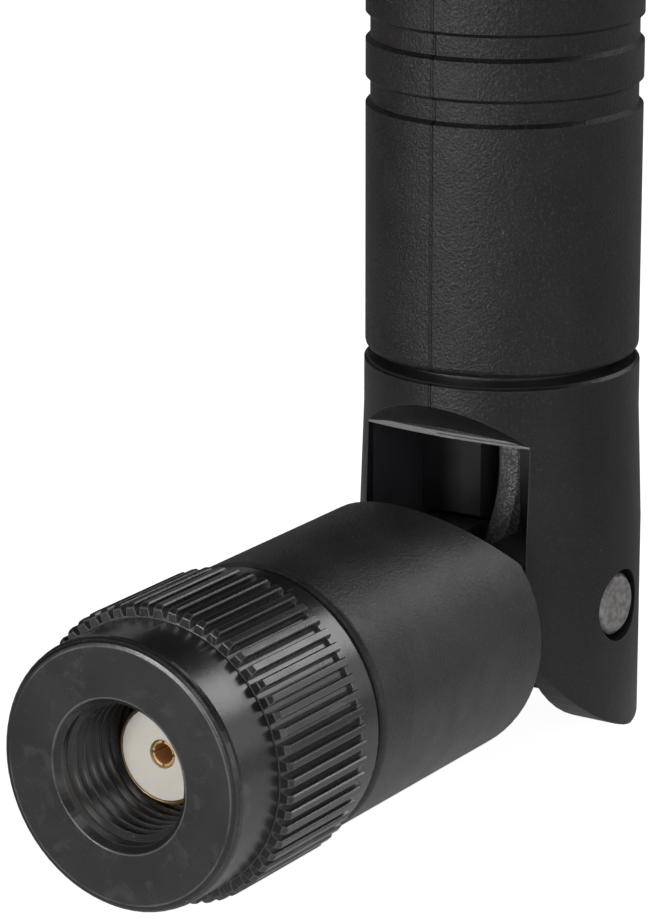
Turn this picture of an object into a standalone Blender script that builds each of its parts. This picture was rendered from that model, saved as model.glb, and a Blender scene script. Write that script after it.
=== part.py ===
"""Hinged cellular whip antenna on a threaded coaxial plug, in metres, +Z up.

The origin is the centre of the plug's mating plane. The plug faces -Y, the arm runs along +Y
to the hinge, and the mast stands up along +Z from it, bent at a right angle. The hinge pins
lie along X. The nut turns about the arm's axis.
"""
import math

import bmesh
import bpy
from mathutils import Matrix, Vector

# Clearances
CLOSE_FIT = 0.0001
SEAT_GAP = 0.0003
NUT_GAP = 0.0002
RUNNING_GAP = 0.00015

# Coupling nut, turned about the arm's axis
THREAD_DIAMETER = 0.00635
NUT_REACH = 0.00325
NUT_LENGTH = 0.01062
NUT_LAND_DIAMETER = 0.01228
NUT_LAND_LENGTH = 0.0031
NUT_REAR_DIAMETER = 0.0128
NUT_EDGE_RADIUS = 0.00042
NUT_MOUTH_CHAMFER = 0.0003
NUT_REAR_RECESS_DIAMETER = 0.0090
NUT_REAR_RECESS_DEPTH = 0.0031
KNURL_DIAMETER = 0.01354
KNURL_ROOT_DIAMETER = 0.01244
KNURL_LENGTH = 0.0061
KNURL_RIDGES = 56
KNURL_TOP_SHARE = 0.36
KNURL_EDGE_SHARE = 0.07
KNURL_EDGE_DROP = 0.00007
KNURL_ROOT_SHARE = 0.24
KNURL_END_CHAMFER = 0.0002
KNURL_START_SHARE = 0.05

# Snap ring that holds the nut on the plug's body
RING_WIDTH = 0.0006
RING_OUTER_DIAMETER = 0.0071
RING_INNER_DIAMETER = 0.0055
RING_SPLIT = 0.0009

# Plug body and what it holds
SPIGOT_DIAMETER = 0.00459
SPIGOT_LENGTH = 0.00195
RING_SETBACK = 0.0006
FLANGE_DIAMETER = 0.0082
FLANGE_LENGTH = 0.0027
TAIL_DIAMETER = 0.0060
TAIL_LENGTH = 0.0076
TAIL_GROOVE_DEPTH = 0.0004
TAIL_GROOVE_WIDTH = 0.0010
DIELECTRIC_DIAMETER = 0.0042
DIELECTRIC_LENGTH = 0.0100
CONTACT_DIAMETER = 0.0012
CONTACT_BORE = 0.00091
CONTACT_BORE_DEPTH = 0.0030
CONTACT_LENGTH = 0.0118
CONTACT_SLIT = 0.00011
CONTACT_SLIT_LENGTH = 0.0024
CONTACT_RECESS = 0.00006
CRIMP_POST_DIAMETER = 0.0022
CRIMP_POST_LENGTH = 0.0030
FERRULE_WALL = 0.0004
FERRULE_LENGTH = 0.0044

# Swivel arm: a barrel with a tongue for the hinge
ARM_DIAMETER = 0.0129
ARM_EDGE_RADIUS = 0.00035
HINGE_REACH = 0.02825
SHOULDER_SETBACK = 0.0068
TONGUE_HEIGHT = 0.0068
KNUCKLE_RADIUS = 0.00275
KNUCKLE_SETBACK = 0.0008
TONGUE_WIDTH = 0.0083
TONGUE_EDGE = 0.00025
TONGUE_CHANNEL_LENGTH = 0.0048

# Hinge fork under the mast
FORK_TOP_HEIGHT = 0.01145
FORK_TOP_DIAMETER = 0.0131
FORK_EAR_DIAMETER = 0.0135
FORK_FLARE_TOP = 0.0090
FORK_FLARE_BOTTOM = 0.0035
FORK_BOTTOM_DROP = 0.0066
FORK_BOTTOM_ARC = 0.0094
FORK_BOTTOM_SETBACK = 0.0032
FORK_EDGE_RADIUS = 0.0003
FORK_SPIGOT_LENGTH = 0.0090
FORK_ROOF_HEIGHT = 0.0085
FORK_LIP_HEIGHT = 0.0001
FORK_LIP_BULGE = 0.00035
FACET_ANGLE = math.radians(45.0)
SLOT_SIDE_GAP = 0.00027
PIN_DIAMETER = 0.0030
PIN_HOLE_DIAMETER = 0.0035
PIN_RECESS = 0.00003
PIN_END_CHAMFER = 0.0002

# Mast
MAST_DIAMETER = 0.0130
MAST_WALL = 0.0012
MAST_TOP_HEIGHT = 0.1650
MAST_TIP_WALL = 0.0020
MAST_TIP_RADIUS = 0.0030
MAST_EDGE_RADIUS = 0.0004
MAST_JOINT_GAP = 0.0004
GROOVE_HEIGHTS = (0.02425, 0.02727)
GROOVE_WIDTH = 0.00132
GROOVE_DEPTH = 0.00022
GROOVE_EDGE = 0.0002

# Coaxial cable
CABLE_DIAMETER = 0.0018
CABLE_BORE = 0.0022
CABLE_SETBACK = 0.00165
CABLE_BEND_RADIUS = 0.0055
CABLE_CORE_DIAMETER = 0.0006
CABLE_RETURN_LENGTH = 0.0120

# Radiator inside the mast
SPACER_LENGTH = 0.0035
SPACER_HOLE_DIAMETER = 0.0060
SLEEVE_DIAMETER = 0.0080
SLEEVE_WALL = 0.0004
SLEEVE_LENGTH = 0.0600
SLEEVE_CAP = 0.0010
FEED_DIAMETER = 0.0062
FEED_LENGTH = 0.0060
WIRE_DIAMETER = 0.0012
WIRE_LEAD = 0.0180
COIL_DIAMETER = 0.0060
COIL_TURNS = 7
COIL_PITCH = 0.0028
WIRE_TIP_ROOM = 0.0180
TOP_SPACER_LENGTH = 0.0040
SHRINK_WALL = 0.0003
SHRINK_LENGTH = 0.0120

# Facets
ROUND = 72
SMALL_ROUND = 40
ARC_STEPS = 4
WELD = 0.0000002

# Derived places along the arm, measured from the mating plane
NUT_FRONT = -NUT_REACH
NUT_REAR = NUT_FRONT + NUT_LENGTH
KNURL_FRONT = NUT_FRONT + NUT_LAND_LENGTH
KNURL_REAR = KNURL_FRONT + KNURL_LENGTH
ARM_FRONT = NUT_REAR + NUT_GAP
SHOULDER = HINGE_REACH - SHOULDER_SETBACK
RING_FRONT = SPIGOT_LENGTH + RING_SETBACK
FLANGE_REAR = ARM_FRONT - CLOSE_FIT
FLANGE_FRONT = FLANGE_REAR - FLANGE_LENGTH
TAIL_REAR = FLANGE_REAR + TAIL_LENGTH
POST_REAR = TAIL_REAR + CRIMP_POST_LENGTH
FERRULE_FRONT = TAIL_REAR + CLOSE_FIT
FERRULE_REAR = FERRULE_FRONT + FERRULE_LENGTH
CONTACT_REAR = CONTACT_RECESS + CONTACT_LENGTH
CABLE_START = CONTACT_REAR + SEAT_GAP

# Derived places up the mast, measured from the arm's axis
MAST_BOTTOM = FORK_TOP_HEIGHT + MAST_JOINT_GAP
MAST_BORE = MAST_DIAMETER - 2 * MAST_WALL
SPIGOT_TOP = FORK_TOP_HEIGHT + FORK_SPIGOT_LENGTH
SPACER_BOTTOM = SPIGOT_TOP + CLOSE_FIT
SLEEVE_BOTTOM = SPACER_BOTTOM + SPACER_LENGTH / 2
SLEEVE_TOP = SLEEVE_BOTTOM + SLEEVE_LENGTH
FEED_BOTTOM = SLEEVE_TOP + CLOSE_FIT
FEED_TOP = FEED_BOTTOM + FEED_LENGTH
WIRE_BOTTOM = FEED_BOTTOM + FEED_LENGTH / 2
COIL_BOTTOM = WIRE_BOTTOM + WIRE_LEAD
COIL_TOP = COIL_BOTTOM + COIL_TURNS * COIL_PITCH
WIRE_END = MAST_TOP_HEIGHT - WIRE_TIP_ROOM
FORK_SLOT_WIDTH = TONGUE_WIDTH + 2 * SLOT_SIDE_GAP
POCKET_RADIUS = KNUCKLE_RADIUS + SEAT_GAP
POCKET_DEPTH = TONGUE_HEIGHT / 2 + SEAT_GAP
KNUCKLE_CORNER = math.hypot(KNUCKLE_SETBACK, TONGUE_HEIGHT / 2)
KNUCKLE_LEAD = math.acos(KNUCKLE_RADIUS / KNUCKLE_CORNER)
KNUCKLE_START = KNUCKLE_LEAD - math.atan2(TONGUE_HEIGHT / 2, -KNUCKLE_SETBACK)
PIN_BORE = PIN_DIAMETER + 2 * RUNNING_GAP
CABLE_HOLE = CABLE_DIAMETER + 2 * CLOSE_FIT

PARTS = "cellular_antenna"
CUTTERS = "cutters"


def clear_scene():
    """Start from an empty scene."""
    for item in list(bpy.data.objects):
        bpy.data.objects.remove(item, do_unlink=True)


def collection(name):
    """A collection of this name, linked to the scene."""
    found = bpy.data.collections.get(name)
    if found is None:
        found = bpy.data.collections.new(name)
        bpy.context.scene.collection.children.link(found)
    return found


def material(name, colour, roughness, metallic=0.0):
    """A Principled material, made once."""
    found = bpy.data.materials.get(name)
    if found is None:
        found = bpy.data.materials.new(name)
        found.use_nodes = True
        shader = found.node_tree.nodes["Principled BSDF"]
        shader.inputs["Base Color"].default_value = (*colour, 1.0)
        shader.inputs["Roughness"].default_value = roughness
        shader.inputs["Metallic"].default_value = metallic
    return found


def matt_black():
    return material("matt_black_plastic", (0.028, 0.028, 0.029), 0.62)


def satin_black():
    return material("satin_black_plastic", (0.030, 0.030, 0.031), 0.48)


def nut_black():
    return material("nut_black", (0.022, 0.022, 0.024), 0.34)


def gold():
    return material("gold_plate", (0.83, 0.62, 0.28), 0.25, 1.0)


def brass():
    return material("brass", (0.70, 0.52, 0.25), 0.35, 1.0)


def steel():
    return material("grey_steel", (0.33, 0.33, 0.34), 0.45, 1.0)


def white_dielectric():
    return material("white_dielectric", (0.78, 0.77, 0.74), 0.42)


def black_jacket():
    return material("black_jacket", (0.030, 0.029, 0.028), 0.55)


def clear_nylon():
    return material("natural_nylon", (0.62, 0.60, 0.52), 0.45)


def link(item, finish):
    """Put a finished object in the parts' collection, or a cutter in the cutters' collection."""
    if finish is None:
        collection(CUTTERS).objects.link(item)
        item.hide_render = True
        item.display_type = "WIRE"
    else:
        collection(PARTS).objects.link(item)
        item.data.materials.append(finish)
    return item


def turned(name, outline, axis, finish, steps=ROUND, open_ended=False):
    """Turn an outline of (radius, place along the axis) about Y or Z.

    A closed outline makes a ring. An open-ended one starts and ends on the axis.
    """
    mesh = bpy.data.meshes.new(name)
    shape = bmesh.new()
    if axis == "Z":
        rows = [shape.verts.new((radius, 0.0, along)) for radius, along in outline]
    else:
        rows = [shape.verts.new((radius, along, 0.0)) for radius, along in outline]
    for start, end in zip(rows, rows[1:]):
        shape.edges.new((start, end))
    if not open_ended:
        shape.edges.new((rows[-1], rows[0]))
    shape.to_mesh(mesh)
    shape.free()
    item = bpy.data.objects.new(name, mesh)
    link(item, finish)
    screw = item.modifiers.new("turn", "SCREW")
    screw.axis = axis
    screw.angle = 2 * math.pi
    screw.steps = steps
    screw.render_steps = steps
    screw.use_merge_vertices = True
    screw.merge_threshold = WELD
    settle(item)
    return item


def extruded(name, outline, axis, low, high, finish):
    """Extrude a closed outline along X or Y between two places.

    Along X the outline is (y, z). Along Y it is (x, z).
    """
    curve = bpy.data.curves.new(name, "CURVE")
    curve.dimensions = "2D"
    curve.fill_mode = "BOTH"
    curve.extrude = (high - low) / 2
    spline = curve.splines.new("POLY")
    spline.points.add(len(outline) - 1)
    for point, (across, up) in zip(spline.points, outline):
        point.co = (across, up, 0.0, 1.0)
    spline.use_cyclic_u = True
    drawn = bpy.data.objects.new(name, curve)
    middle = (low + high) / 2
    if axis == "X":
        frame = Matrix(((0, 0, 1, middle), (1, 0, 0, 0), (0, 1, 0, 0), (0, 0, 0, 1)))
    else:
        frame = Matrix(((1, 0, 0, 0), (0, 0, -1, middle), (0, 1, 0, 0), (0, 0, 0, 1)))
    return meshed(drawn, name, frame, finish)


def tube(name, points, diameter, finish, sides=2):
    """A round wire or cable along a row of points."""
    curve = bpy.data.curves.new(name, "CURVE")
    curve.dimensions = "3D"
    curve.bevel_depth = diameter / 2
    curve.bevel_resolution = sides
    curve.use_fill_caps = True
    spline = curve.splines.new("POLY")
    spline.points.add(len(points) - 1)
    for point, place in zip(spline.points, points):
        point.co = (*place, 1.0)
    drawn = bpy.data.objects.new(name, curve)
    return meshed(drawn, name, Matrix.Identity(4), finish)


def meshed(drawn, name, frame, finish):
    """Make a mesh object from a curve object, and remove the curve."""
    scene = bpy.context.scene.collection
    scene.objects.link(drawn)
    drawn.matrix_world = frame
    bpy.context.view_layer.update()
    graph = bpy.context.evaluated_depsgraph_get()
    mesh = bpy.data.meshes.new_from_object(drawn.evaluated_get(graph))
    mesh.name = name
    mesh.materials.clear()
    mesh.transform(frame)
    bpy.data.objects.remove(drawn, do_unlink=True)
    item = bpy.data.objects.new(name, mesh)
    link(item, finish)
    tidy(item)
    return item


def tidy(item):
    """Weld the seams, turn the faces outwards and shade the round faces smooth."""
    shape = bmesh.new()
    shape.from_mesh(item.data)
    bmesh.ops.remove_doubles(shape, verts=shape.verts, dist=WELD)
    bmesh.ops.dissolve_degenerate(shape, edges=shape.edges, dist=WELD)
    bmesh.ops.recalc_face_normals(shape, faces=shape.faces)
    shape.to_mesh(item.data)
    shape.free()
    item.data.shade_smooth()
    item.data.set_sharp_from_angle(angle=math.radians(30.0))


def settle(item):
    """Apply an object's modifiers to its mesh."""
    bpy.context.view_layer.update()
    graph = bpy.context.evaluated_depsgraph_get()
    mesh = bpy.data.meshes.new_from_object(item.evaluated_get(graph))
    item.modifiers.clear()
    old = item.data
    item.data = mesh
    mesh.name = item.name
    if old.users == 0:
        bpy.data.meshes.remove(old)
    tidy(item)


def combine(item, other, how):
    """Cut, join or trim an object with another by an exact Boolean."""
    change = item.modifiers.new(how.lower(), "BOOLEAN")
    change.operation = how
    change.solver = "EXACT"
    change.object = other
    settle(item)


def cut(item, *cutters):
    for cutter in cutters:
        combine(item, cutter, "DIFFERENCE")


def join(item, *others):
    for other in others:
        combine(item, other, "UNION")


def arc(centre, radius, start, end, steps=ARC_STEPS):
    """Points along an arc, angles in degrees, in the outline's own plane."""
    angles = [math.radians(start + (end - start) * i / steps) for i in range(steps + 1)]
    return [(centre[0] + radius * math.cos(a), centre[1] + radius * math.sin(a)) for a in angles]


def rod(name, start, end, diameter, finish=None, steps=SMALL_ROUND):
    """A plain cylinder between two points, as a pin or a drill."""
    start = Vector(start)
    end = Vector(end)
    mesh = bpy.data.meshes.new(name)
    shape = bmesh.new()
    turn = (end - start).to_track_quat("Z", "Y").to_matrix().to_4x4()
    frame = Matrix.Translation((start + end) / 2) @ turn
    bmesh.ops.create_cone(
        shape,
        cap_ends=True,
        segments=steps,
        radius1=diameter / 2,
        radius2=diameter / 2,
        depth=(end - start).length,
        matrix=frame,
    )
    shape.to_mesh(mesh)
    shape.free()
    item = bpy.data.objects.new(name, mesh)
    link(item, finish)
    tidy(item)
    return item


def block(name, low, high, finish=None):
    """A box between two corners."""
    low = Vector(low)
    high = Vector(high)
    mesh = bpy.data.meshes.new(name)
    shape = bmesh.new()
    size = high - low
    frame = Matrix.Translation((low + high) / 2) @ Matrix.Diagonal((*size, 1.0))
    bmesh.ops.create_cube(shape, size=1.0, matrix=frame)
    shape.to_mesh(mesh)
    shape.free()
    item = bpy.data.objects.new(name, mesh)
    link(item, finish)
    tidy(item)
    return item


def knurl_outline():
    """A gear-like outline: flat ridges with broken edges, sloping flanks and flat roots."""
    pitch = 2 * math.pi / KNURL_RIDGES
    top = KNURL_DIAMETER / 2
    root = KNURL_ROOT_DIAMETER / 2
    half_top = pitch * KNURL_TOP_SHARE / 2
    half_root = pitch * KNURL_ROOT_SHARE / 2
    edge = pitch * KNURL_EDGE_SHARE
    points = []
    for ridge in range(KNURL_RIDGES):
        middle = (ridge + KNURL_START_SHARE) * pitch
        for radius, angle in (
            (top - KNURL_EDGE_DROP, middle - half_top - edge),
            (top, middle - half_top),
            (top, middle + half_top),
            (top - KNURL_EDGE_DROP, middle + half_top + edge),
            (root, middle + pitch / 2 - half_root),
            (root, middle + pitch / 2 + half_root),
        ):
            points.append((radius * math.cos(angle), radius * math.sin(angle)))
    return points


def nut_grip():
    """The ridged band of the nut, with its ridges chamfered at both ends."""
    grip = extruded("nut_grip", knurl_outline(), "Y", KNURL_FRONT, KNURL_REAR, None)
    over = KNURL_DIAMETER / 2 + CLOSE_FIT
    low = over - KNURL_END_CHAMFER - CLOSE_FIT
    rise = KNURL_END_CHAMFER + CLOSE_FIT
    root = (NUT_REAR_RECESS_DIAMETER + NUT_LAND_DIAMETER) / 4
    outline = [
        (root, KNURL_FRONT - CLOSE_FIT),
        (low - CLOSE_FIT, KNURL_FRONT - CLOSE_FIT),
        (over, KNURL_FRONT + rise),
        (over, KNURL_REAR - rise),
        (low - CLOSE_FIT, KNURL_REAR + CLOSE_FIT),
        (root, KNURL_REAR + CLOSE_FIT),
    ]
    combine(grip, turned("nut_grip_ends", outline, "Y", None), "INTERSECT")
    return grip


def coupling_nut():
    """The knurled nut: two smooth lands, a ridged grip, and a bore for the mating thread."""
    land = NUT_LAND_DIAMETER / 2
    rear = NUT_REAR_DIAMETER / 2
    edge = NUT_EDGE_RADIUS
    step = KNURL_REAR - CLOSE_FIT
    rear_edge = edge / 2
    bore = THREAD_DIAMETER / 2
    recess = NUT_REAR_RECESS_DIAMETER / 2
    ring_room = RING_OUTER_DIAMETER / 2 + RUNNING_GAP
    ring_rear = RING_FRONT + RING_WIDTH
    outline = arc((land - edge, NUT_FRONT + edge), edge, -90, 0)
    outline += [(land, step), (rear, step)]
    outline += arc((rear - rear_edge, NUT_REAR - rear_edge), rear_edge, 0, 90)
    outline += [
        (recess, NUT_REAR),
        (recess, NUT_REAR - NUT_REAR_RECESS_DEPTH),
        (bore, NUT_REAR - NUT_REAR_RECESS_DEPTH),
        (bore, ring_rear + RUNNING_GAP),
        (ring_room, ring_rear + RUNNING_GAP),
        (ring_room, RING_FRONT - RUNNING_GAP),
        (bore, RING_FRONT - RUNNING_GAP),
        (bore, NUT_FRONT + NUT_MOUTH_CHAMFER),
        (bore + NUT_MOUTH_CHAMFER, NUT_FRONT),
    ]
    nut = turned("coupling_nut", outline, "Y", nut_black())
    join(nut, nut_grip())
    return nut


def retaining_ring():
    """The split snap ring between the plug's body and the nut."""
    inner = RING_INNER_DIAMETER / 2
    outer = RING_OUTER_DIAMETER / 2
    rear = RING_FRONT + RING_WIDTH
    outline = [(outer, RING_FRONT), (outer, rear), (inner, rear), (inner, RING_FRONT)]
    ring = turned("retaining_ring", outline, "Y", steel(), steps=SMALL_ROUND)
    half = RING_SPLIT / 2
    low = (-half, RING_FRONT - RING_WIDTH, 0.0)
    high = (half, rear + RING_WIDTH, RING_OUTER_DIAMETER)
    cut(ring, block("ring_split", low, high))
    return ring


def connector_body():
    """The gold-plated plug body: spigot, ring groove, flange, grooved tail and crimp post."""
    spigot = SPIGOT_DIAMETER / 2
    collar = THREAD_DIAMETER / 2 - RUNNING_GAP
    groove = RING_INNER_DIAMETER / 2 - CLOSE_FIT
    flange = FLANGE_DIAMETER / 2
    tail = TAIL_DIAMETER / 2
    post = CRIMP_POST_DIAMETER / 2
    inner = DIELECTRIC_DIAMETER / 2 + CLOSE_FIT / 2
    bore_rear = DIELECTRIC_LENGTH + CLOSE_FIT
    cable = CABLE_HOLE / 2
    outline = [(inner, 0.0), (spigot - CLOSE_FIT, 0.0), (spigot, CLOSE_FIT)]
    outline += [(spigot, SPIGOT_LENGTH), (collar, SPIGOT_LENGTH)]
    outline += [(collar, RING_FRONT - CLOSE_FIT), (groove, RING_FRONT - CLOSE_FIT)]
    outline += [(groove, RING_FRONT + RING_WIDTH + CLOSE_FIT)]
    outline += [(collar, RING_FRONT + RING_WIDTH + CLOSE_FIT)]
    outline += [(collar, FLANGE_FRONT), (flange, FLANGE_FRONT), (flange, FLANGE_REAR)]
    outline += [(tail, FLANGE_REAR)]
    for number in (1, 2):
        start = FLANGE_REAR + number * TAIL_LENGTH / 3 - TAIL_GROOVE_WIDTH / 2
        end = start + TAIL_GROOVE_WIDTH
        deep = tail - TAIL_GROOVE_DEPTH
        outline += [(tail, start), (deep, start), (deep, end), (tail, end)]
    outline += [(tail, TAIL_REAR), (post, TAIL_REAR), (post, POST_REAR), (cable, POST_REAR)]
    outline += [(cable, bore_rear), (inner, bore_rear)]
    return turned("connector_body", outline, "Y", gold(), steps=SMALL_ROUND)


def dielectric():
    """The white insulator round the centre contact, flush with the mating plane."""
    outer = DIELECTRIC_DIAMETER / 2
    hole = CONTACT_DIAMETER / 2 + CLOSE_FIT / 2
    outline = [(hole, 0.0), (outer, 0.0), (outer, DIELECTRIC_LENGTH), (hole, DIELECTRIC_LENGTH)]
    return turned("dielectric", outline, "Y", white_dielectric(), steps=SMALL_ROUND)


def center_contact():
    """The centre socket with its four spring fingers and its solder cup."""
    outer = CONTACT_DIAMETER / 2
    bore = CONTACT_BORE / 2
    front = CONTACT_RECESS
    lead = CLOSE_FIT / 2
    outline = [
        (0.0, front + CONTACT_BORE_DEPTH),
        (bore, front + CONTACT_BORE_DEPTH),
        (bore, front + lead),
        (bore + lead, front),
        (outer - lead, front),
        (outer, front + lead),
        (outer, CONTACT_REAR),
        (0.0, CONTACT_REAR),
    ]
    contact = turned("center_contact", outline, "Y", gold(), steps=24, open_ended=True)
    half = CONTACT_SLIT / 2
    reach = CONTACT_DIAMETER
    start = front - CONTACT_SLIT
    end = front + CONTACT_SLIT_LENGTH
    cut(contact, block("contact_slit_across", (-reach, start, -half), (reach, end, half)))
    cut(contact, block("contact_slit_upright", (-half, start, -reach), (half, end, reach)))
    return contact


def crimp_ferrule():
    """The crimped sleeve that holds the cable's braid on the post."""
    inner = CRIMP_POST_DIAMETER / 2 + CLOSE_FIT
    outer = inner + FERRULE_WALL
    neck = CABLE_DIAMETER / 2 + CLOSE_FIT
    waist = outer - FERRULE_WALL / 2
    step = POST_REAR + CLOSE_FIT
    outline = [
        (inner, FERRULE_FRONT),
        (outer, FERRULE_FRONT),
        (outer, step - FERRULE_WALL),
        (waist, step),
        (waist, FERRULE_REAR),
        (neck, FERRULE_REAR),
        (neck, step),
        (inner, step),
    ]
    return turned("crimp_ferrule", outline, "Y", brass(), steps=SMALL_ROUND)


def swivel_arm():
    """The barrel with its sloping shoulder, and the rounded tongue that the fork holds."""
    radius = ARM_DIAMETER / 2
    edge = ARM_EDGE_RADIUS
    outline = [(0.0, ARM_FRONT)]
    outline += arc((radius - edge, ARM_FRONT + edge), edge, -90, 0)
    outline += arc((radius - edge, SHOULDER - edge), edge, 0, 90)
    outline += [(0.0, SHOULDER)]
    arm = turned("swivel_arm", outline, "Y", satin_black(), open_ended=True)

    half_height = TONGUE_HEIGHT / 2
    half_width = TONGUE_WIDTH / 2
    slope = math.tan(FACET_ANGLE)
    rise = 2 * radius
    beyond = radius
    wedge = [
        (SHOULDER, half_height),
        (SHOULDER - rise / slope, half_height + rise),
        (SHOULDER + beyond, half_height + rise),
        (SHOULDER + beyond, half_height),
    ]
    cut(arm, extruded("arm_shoulder", wedge, "X", -beyond, beyond, None))

    root = SHOULDER - TONGUE_HEIGHT / 2
    side = [(root, -half_height), (HINGE_REACH - KNUCKLE_SETBACK, -half_height)]
    side += arc((HINGE_REACH, 0.0), KNUCKLE_RADIUS, math.degrees(KNUCKLE_START), 90, 18)
    side += [(SHOULDER - ARM_EDGE_RADIUS, KNUCKLE_RADIUS), (root, 0.0)]
    tongue = extruded("arm_tongue", side, "X", -half_width, half_width, None)
    bevel = tongue.modifiers.new("edges", "BEVEL")
    bevel.width = TONGUE_EDGE
    bevel.segments = 2
    bevel.limit_method = "ANGLE"
    bevel.angle_limit = math.radians(60.0)
    settle(tongue)
    reach = TONGUE_WIDTH
    start = (-reach, HINGE_REACH, 0.0)
    end = (reach, HINGE_REACH, 0.0)
    cut(tongue, rod("arm_pin_hole", start, end, PIN_BORE))
    join(arm, tongue)

    tail = TAIL_DIAMETER / 2 + CLOSE_FIT
    tail_end = TAIL_REAR + CLOSE_FIT
    ferrule = CRIMP_POST_DIAMETER / 2 + 2 * CLOSE_FIT + FERRULE_WALL
    ferrule_end = FERRULE_REAR + SEAT_GAP
    cable = CABLE_BORE / 2
    channel_start = HINGE_REACH - TONGUE_CHANNEL_LENGTH
    bore = [
        (0.0, ARM_FRONT - edge),
        (tail, ARM_FRONT - edge),
        (tail, tail_end),
        (ferrule, tail_end),
        (ferrule, ferrule_end),
        (cable, ferrule_end),
        (cable, channel_start + cable),
        (0.0, channel_start + cable),
    ]
    cut(arm, turned("arm_bore", bore, "Y", None, steps=SMALL_ROUND, open_ended=True))
    bend_start = HINGE_REACH + CABLE_SETBACK - CABLE_BEND_RADIUS
    far = HINGE_REACH + TONGUE_HEIGHT
    channel = [
        (channel_start, -cable),
        (bend_start, -cable),
        (bend_start + TONGUE_HEIGHT / 2, -cable - TONGUE_HEIGHT / 2),
        (far, -cable - TONGUE_HEIGHT / 2),
        (far, TONGUE_HEIGHT),
        (channel_start, TONGUE_HEIGHT),
    ]
    cut(arm, extruded("arm_channel", channel, "X", -cable, cable, None))
    return arm


def hinge_fork():
    """The fork: a spigot for the mast, a pocket for the tongue, and two ears for the pins."""
    top = FORK_TOP_DIAMETER / 2
    ear = FORK_EAR_DIAMETER / 2
    spigot = MAST_BORE / 2 - CLOSE_FIT
    edge = FORK_EDGE_RADIUS
    outline = [(0.0, SPIGOT_TOP), (spigot - edge, SPIGOT_TOP), (spigot, SPIGOT_TOP - edge)]
    outline += [(spigot, FORK_TOP_HEIGHT), (top - edge / 2, FORK_TOP_HEIGHT)]
    outline += [(top, FORK_TOP_HEIGHT - edge / 2), (top, FORK_FLARE_TOP)]
    outline += [(ear, FORK_FLARE_BOTTOM)]
    outline += arc((ear - edge, edge - FORK_BOTTOM_DROP), edge, 0, -90)
    outline += [(0.0, -FORK_BOTTOM_DROP)]
    fork = turned("hinge_fork", outline, "Z", satin_black(), open_ended=True)
    fork.data.transform(Matrix.Translation((0.0, HINGE_REACH, 0.0)))

    half_slot = FORK_SLOT_WIDTH / 2
    lip = -math.sqrt(top * top - half_slot * half_slot)
    lip_top = FORK_ROOF_HEIGHT + FORK_LIP_HEIGHT
    ahead = -FORK_EAR_DIAMETER
    below = -2 * FORK_BOTTOM_DROP
    side = [
        (ahead, lip_top + (lip - ahead) * math.tan(FACET_ANGLE)),
        (lip, lip_top),
        (lip, FORK_ROOF_HEIGHT),
        (0.0, FORK_ROOF_HEIGHT),
    ]
    side += arc((0.0, 0.0), POCKET_RADIUS, 90, math.degrees(KNUCKLE_START) + 90, 9)
    away, up = side[-1]
    drop = (POCKET_DEPTH - away) * away / up
    side += [(POCKET_DEPTH, up - drop), (POCKET_DEPTH, below), (ahead, below)]
    side = [(HINGE_REACH + across, up) for across, up in side]
    pocket = extruded("fork_pocket", side, "X", -half_slot, half_slot, None)
    bow = (half_slot * half_slot / FORK_LIP_BULGE + FORK_LIP_BULGE) / 2
    behind = HINGE_REACH + lip + bow - FORK_LIP_BULGE
    bow_top = lip_top + 2 * FORK_LIP_BULGE
    start = (0.0, behind, FORK_ROOF_HEIGHT)
    cut(pocket, rod("fork_lip", start, (0.0, behind, bow_top), 2 * bow, steps=160))
    cut(fork, pocket)

    setback = FORK_BOTTOM_SETBACK
    centre = (setback, FORK_BOTTOM_ARC - FORK_BOTTOM_DROP)
    under = arc(centre, FORK_BOTTOM_ARC, 180, 270, 16)[:-1]
    under += [(setback, below), (ahead, below), (ahead, centre[1])]
    under = [(HINGE_REACH + across, up) for across, up in under]
    reach = FORK_EAR_DIAMETER
    cut(fork, extruded("fork_under", under, "X", -reach, reach, None))

    start = (-reach, HINGE_REACH, 0.0)
    end = (reach, HINGE_REACH, 0.0)
    cut(fork, rod("fork_pin_holes", start, end, PIN_HOLE_DIAMETER))
    start = (0.0, HINGE_REACH + CABLE_SETBACK, 0.0)
    end = (0.0, HINGE_REACH + CABLE_SETBACK, SPIGOT_TOP + FORK_SPIGOT_LENGTH)
    cut(fork, rod("fork_cable_bore", start, end, CABLE_BORE))
    half = CABLE_BORE / 2
    low = (-half, HINGE_REACH - CLOSE_FIT, POCKET_RADIUS / 2)
    high = (half, HINGE_REACH + CABLE_SETBACK, FORK_ROOF_HEIGHT)
    cut(fork, block("fork_cable_groove", low, high))
    return fork


def hinge_pin(name, side):
    """A short pin from the ear's outside to the cable's channel, chamfered at its ends."""
    radius = PIN_DIAMETER / 2
    edge = PIN_END_CHAMFER
    inner = CABLE_BORE / 2
    outer = FORK_EAR_DIAMETER / 2 - PIN_RECESS - PIN_DIAMETER**2 / (4 * FORK_EAR_DIAMETER)
    outline = [
        (0.0, outer),
        (radius - edge, outer),
        (radius, outer - edge),
        (radius, inner + edge),
        (radius - edge, inner),
        (0.0, inner),
    ]
    pin = turned(name, outline, "Z", steel(), steps=SMALL_ROUND, open_ended=True)
    turn = Matrix.Rotation(math.radians(90.0) * side, 4, "Y")
    pin.data.transform(Matrix.Translation((0.0, HINGE_REACH, 0.0)) @ turn)
    tidy(pin)
    return pin


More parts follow.
